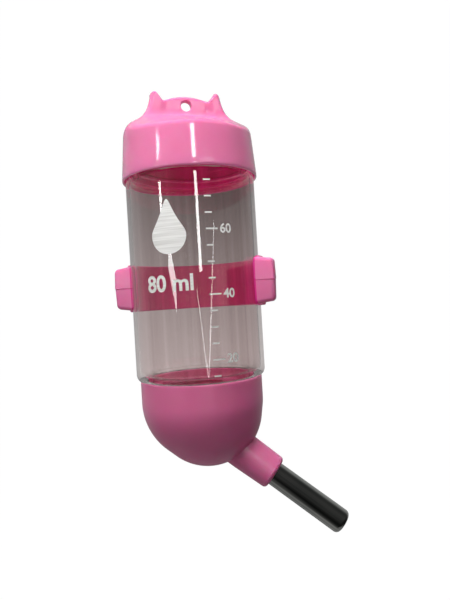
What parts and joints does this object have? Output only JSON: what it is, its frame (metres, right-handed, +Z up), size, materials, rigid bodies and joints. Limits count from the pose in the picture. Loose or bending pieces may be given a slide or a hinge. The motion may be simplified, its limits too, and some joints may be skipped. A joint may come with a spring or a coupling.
{
  "type": "hanging pet drinking bottle",
  "caption": "Clear drinking bottle for a small pet, with a screw cap that hangs by a hole in its eared fin, a clip for cage wires, a screw-on base cup and a slanted steel ball tube.",
  "frame": {"origin": "centre of the hang hole in the cap's fin, which lies on the bottle's axis", "axes": "+Z up along the bottle's axis, +X the way the drinking tube points as it slants down, +Y to the back, where the clip's band runs round the bottle"},
  "size_m": [0.0685, 0.0427, 0.136],
  "materials": {
    "pink_plastic": "glossy opaque pink moulded plastic",
    "clear_plastic": "clear moulded plastic",
    "steel": "polished stainless steel",
    "seal": "soft white silicone"
  },
  "bodies": {
    "clip": {"clip": "pink_plastic"},
    "bottle": {"bottle": "clear_plastic"},
    "cap_seal": {"cap_seal": "seal"},
    "cap": {"top_cap": "pink_plastic"},
    "base_seal": {"base_seal": "seal"},
    "base": {"base_cup": "pink_plastic", "drinking_tube": "steel"},
    "tip_ball": {"tip_ball": "steel"},
    "inner_ball": {"inner_ball": "steel"}
  },
  "joints": [
    {"name": "bottle_turn", "type": "hinge", "parent": "clip", "child": "bottle", "pos_m": [0, 0, -0.056], "axis": [0, 0, 1], "continuous": true},
    {"name": "cap_lift", "type": "slide", "parent": "bottle", "child": "cap_seal", "axis": [0, 0, 1], "range_m": [0, 0.00585]},
    {"name": "cap_turn", "type": "hinge", "parent": "cap_seal", "child": "cap", "pos_m": [0, 0, 0], "axis": [0, 0, 1], "range_deg": [0, 600]},
    {"name": "base_drop", "type": "slide", "parent": "bottle", "child": "base_seal", "axis": [0, 0, -1], "range_m": [0, 0.00502]},
    {"name": "base_turn", "type": "hinge", "parent": "base_seal", "child": "base", "pos_m": [0, 0, -0.0916], "axis": [0, 0, -1], "range_deg": [0, 600]},
    {"name": "tip_push", "type": "slide", "parent": "base", "child": "tip_ball", "axis": [-0.809, 0, 0.5878], "range_m": [0, 0.0015]},
    {"name": "inner_roll", "type": "slide", "parent": "tip_ball", "child": "inner_ball", "axis": [-0.809, 0, 0.5878], "range_m": [0, 0.024]}
  ],
  "couplings": [
    {"joint": "cap_lift", "follows": "cap_turn", "m_per_rad": 0.00055704},
    {"joint": "base_drop", "follows": "base_turn", "m_per_rad": 0.00047746}
  ]
}
